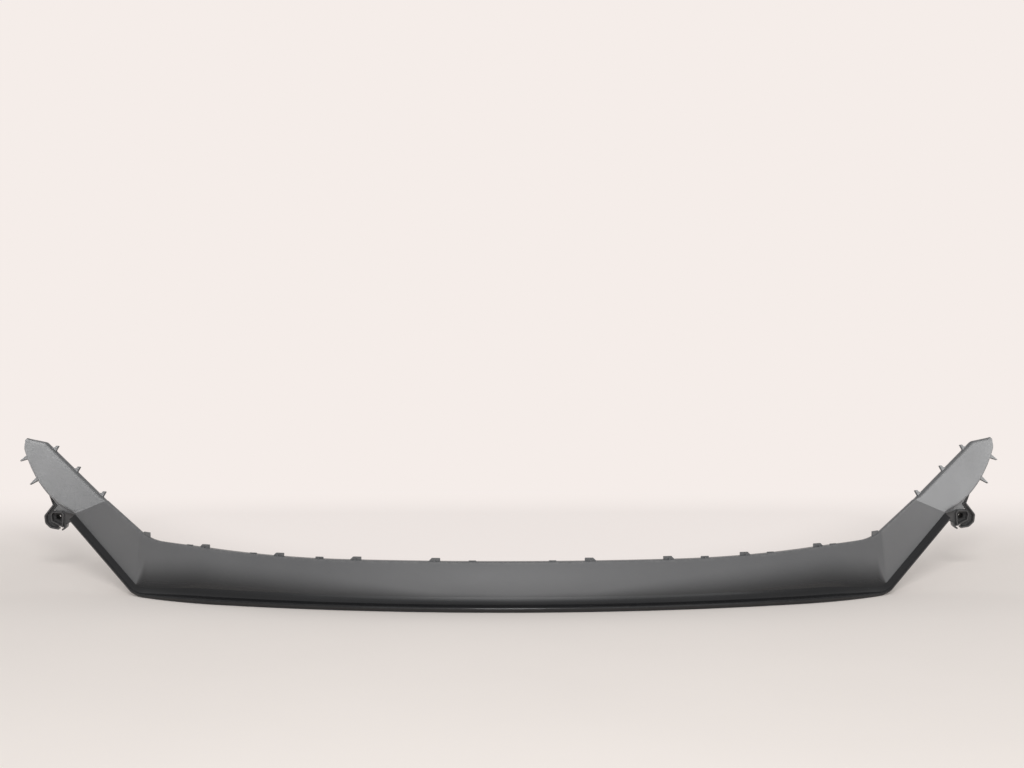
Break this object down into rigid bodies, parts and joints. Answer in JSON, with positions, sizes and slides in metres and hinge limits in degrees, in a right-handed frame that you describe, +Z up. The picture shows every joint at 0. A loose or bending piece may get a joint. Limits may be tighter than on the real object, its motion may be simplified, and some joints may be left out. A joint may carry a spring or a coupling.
{
  "type": "front splitter lip",
  "caption": "Front splitter lip: a bowed thin-walled panel with a glossy forward blade along its foot, upswept wings, clip tongues, hooks and a screw ear at each side.",
  "frame": {"origin": "centre of the bounding box's underside, on the plane the lip stands on", "axes": "+X to the right seen from the front, -Y forward towards the road ahead, +Z up"},
  "size_m": [1.669, 0.4374, 0.2073],
  "materials": {
    "lip_plastic": "satin grained face with a polished blade"
  },
  "bodies": {
    "root": {"lip_moulding": "lip_plastic"}
  },
  "joints": []
}
